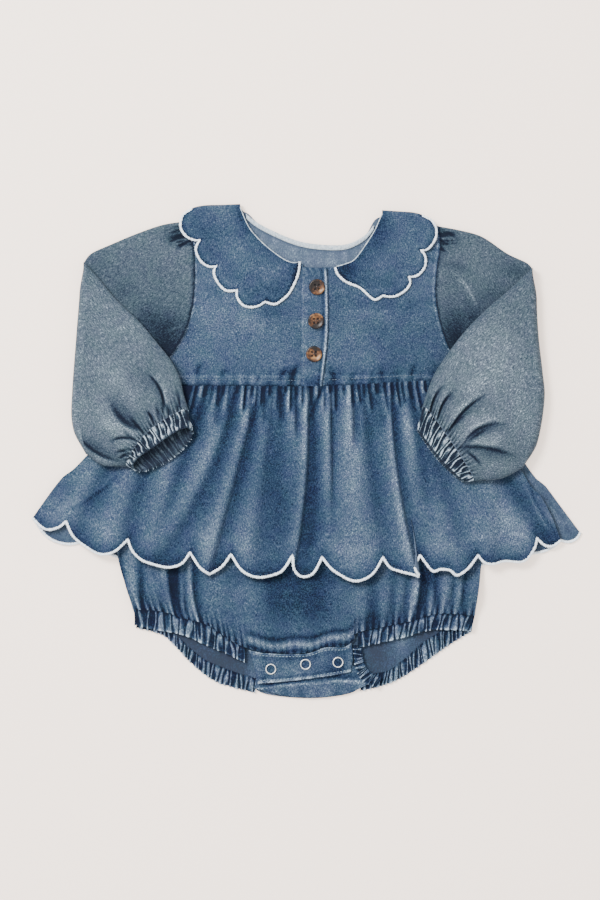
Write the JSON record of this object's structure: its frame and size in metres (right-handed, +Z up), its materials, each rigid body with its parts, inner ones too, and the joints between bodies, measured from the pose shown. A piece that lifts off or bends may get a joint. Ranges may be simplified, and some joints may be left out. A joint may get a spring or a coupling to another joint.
{
  "type": "baby romper",
  "caption": "Long-sleeved baby romper in washed denim, laid flat: buttoned bodice, scalloped round collar, gathered scalloped peplum, bubble bottom with snapped crotch.",
  "frame": {"origin": "centre of the laid-out garment's outline, on the surface that it lies on", "axes": "+X to the right as seen from above (the wearer's left), +Y towards the neck, +Z up out of the front"},
  "size_m": [0.4388, 0.3958, 0.0214],
  "materials": {
    "denim": "soft washed blue cotton denim, matt, darker beside seams",
    "faded_denim": "the same denim, more faded on the folded forearms",
    "white_cotton": "off-white cotton binding and satin-stitch edging",
    "tortoiseshell": "polished brown tortoiseshell resin",
    "snap_metal": "white-silver ring snaps"
  },
  "bodies": {
    "root": {"back_bodice": "denim", "front_bodice_left": "denim", "front_bodice_right": "denim", "placket": "denim", "neck_binding": "white_cotton", "collar_left": "denim", "collar_right": "denim", "bottom_back": "denim", "bottom_front": "denim", "peplum_back": "denim", "peplum_front": "denim", "leg_band_front_left": "denim", "leg_band_front_right": "denim", "leg_band_back_left": "denim", "leg_band_back_right": "denim", "crotch_tab_back": "denim", "crotch_tab_front": "denim", "snap_1": "snap_metal", "snap_2": "snap_metal", "snap_3": "snap_metal", "button_1": "tortoiseshell", "button_2": "tortoiseshell", "button_3": "tortoiseshell", "sleeve_left": "faded_denim", "cuff_left": "faded_denim", "sleeve_right": "faded_denim", "cuff_right": "faded_denim"}
  },
  "joints": []
}
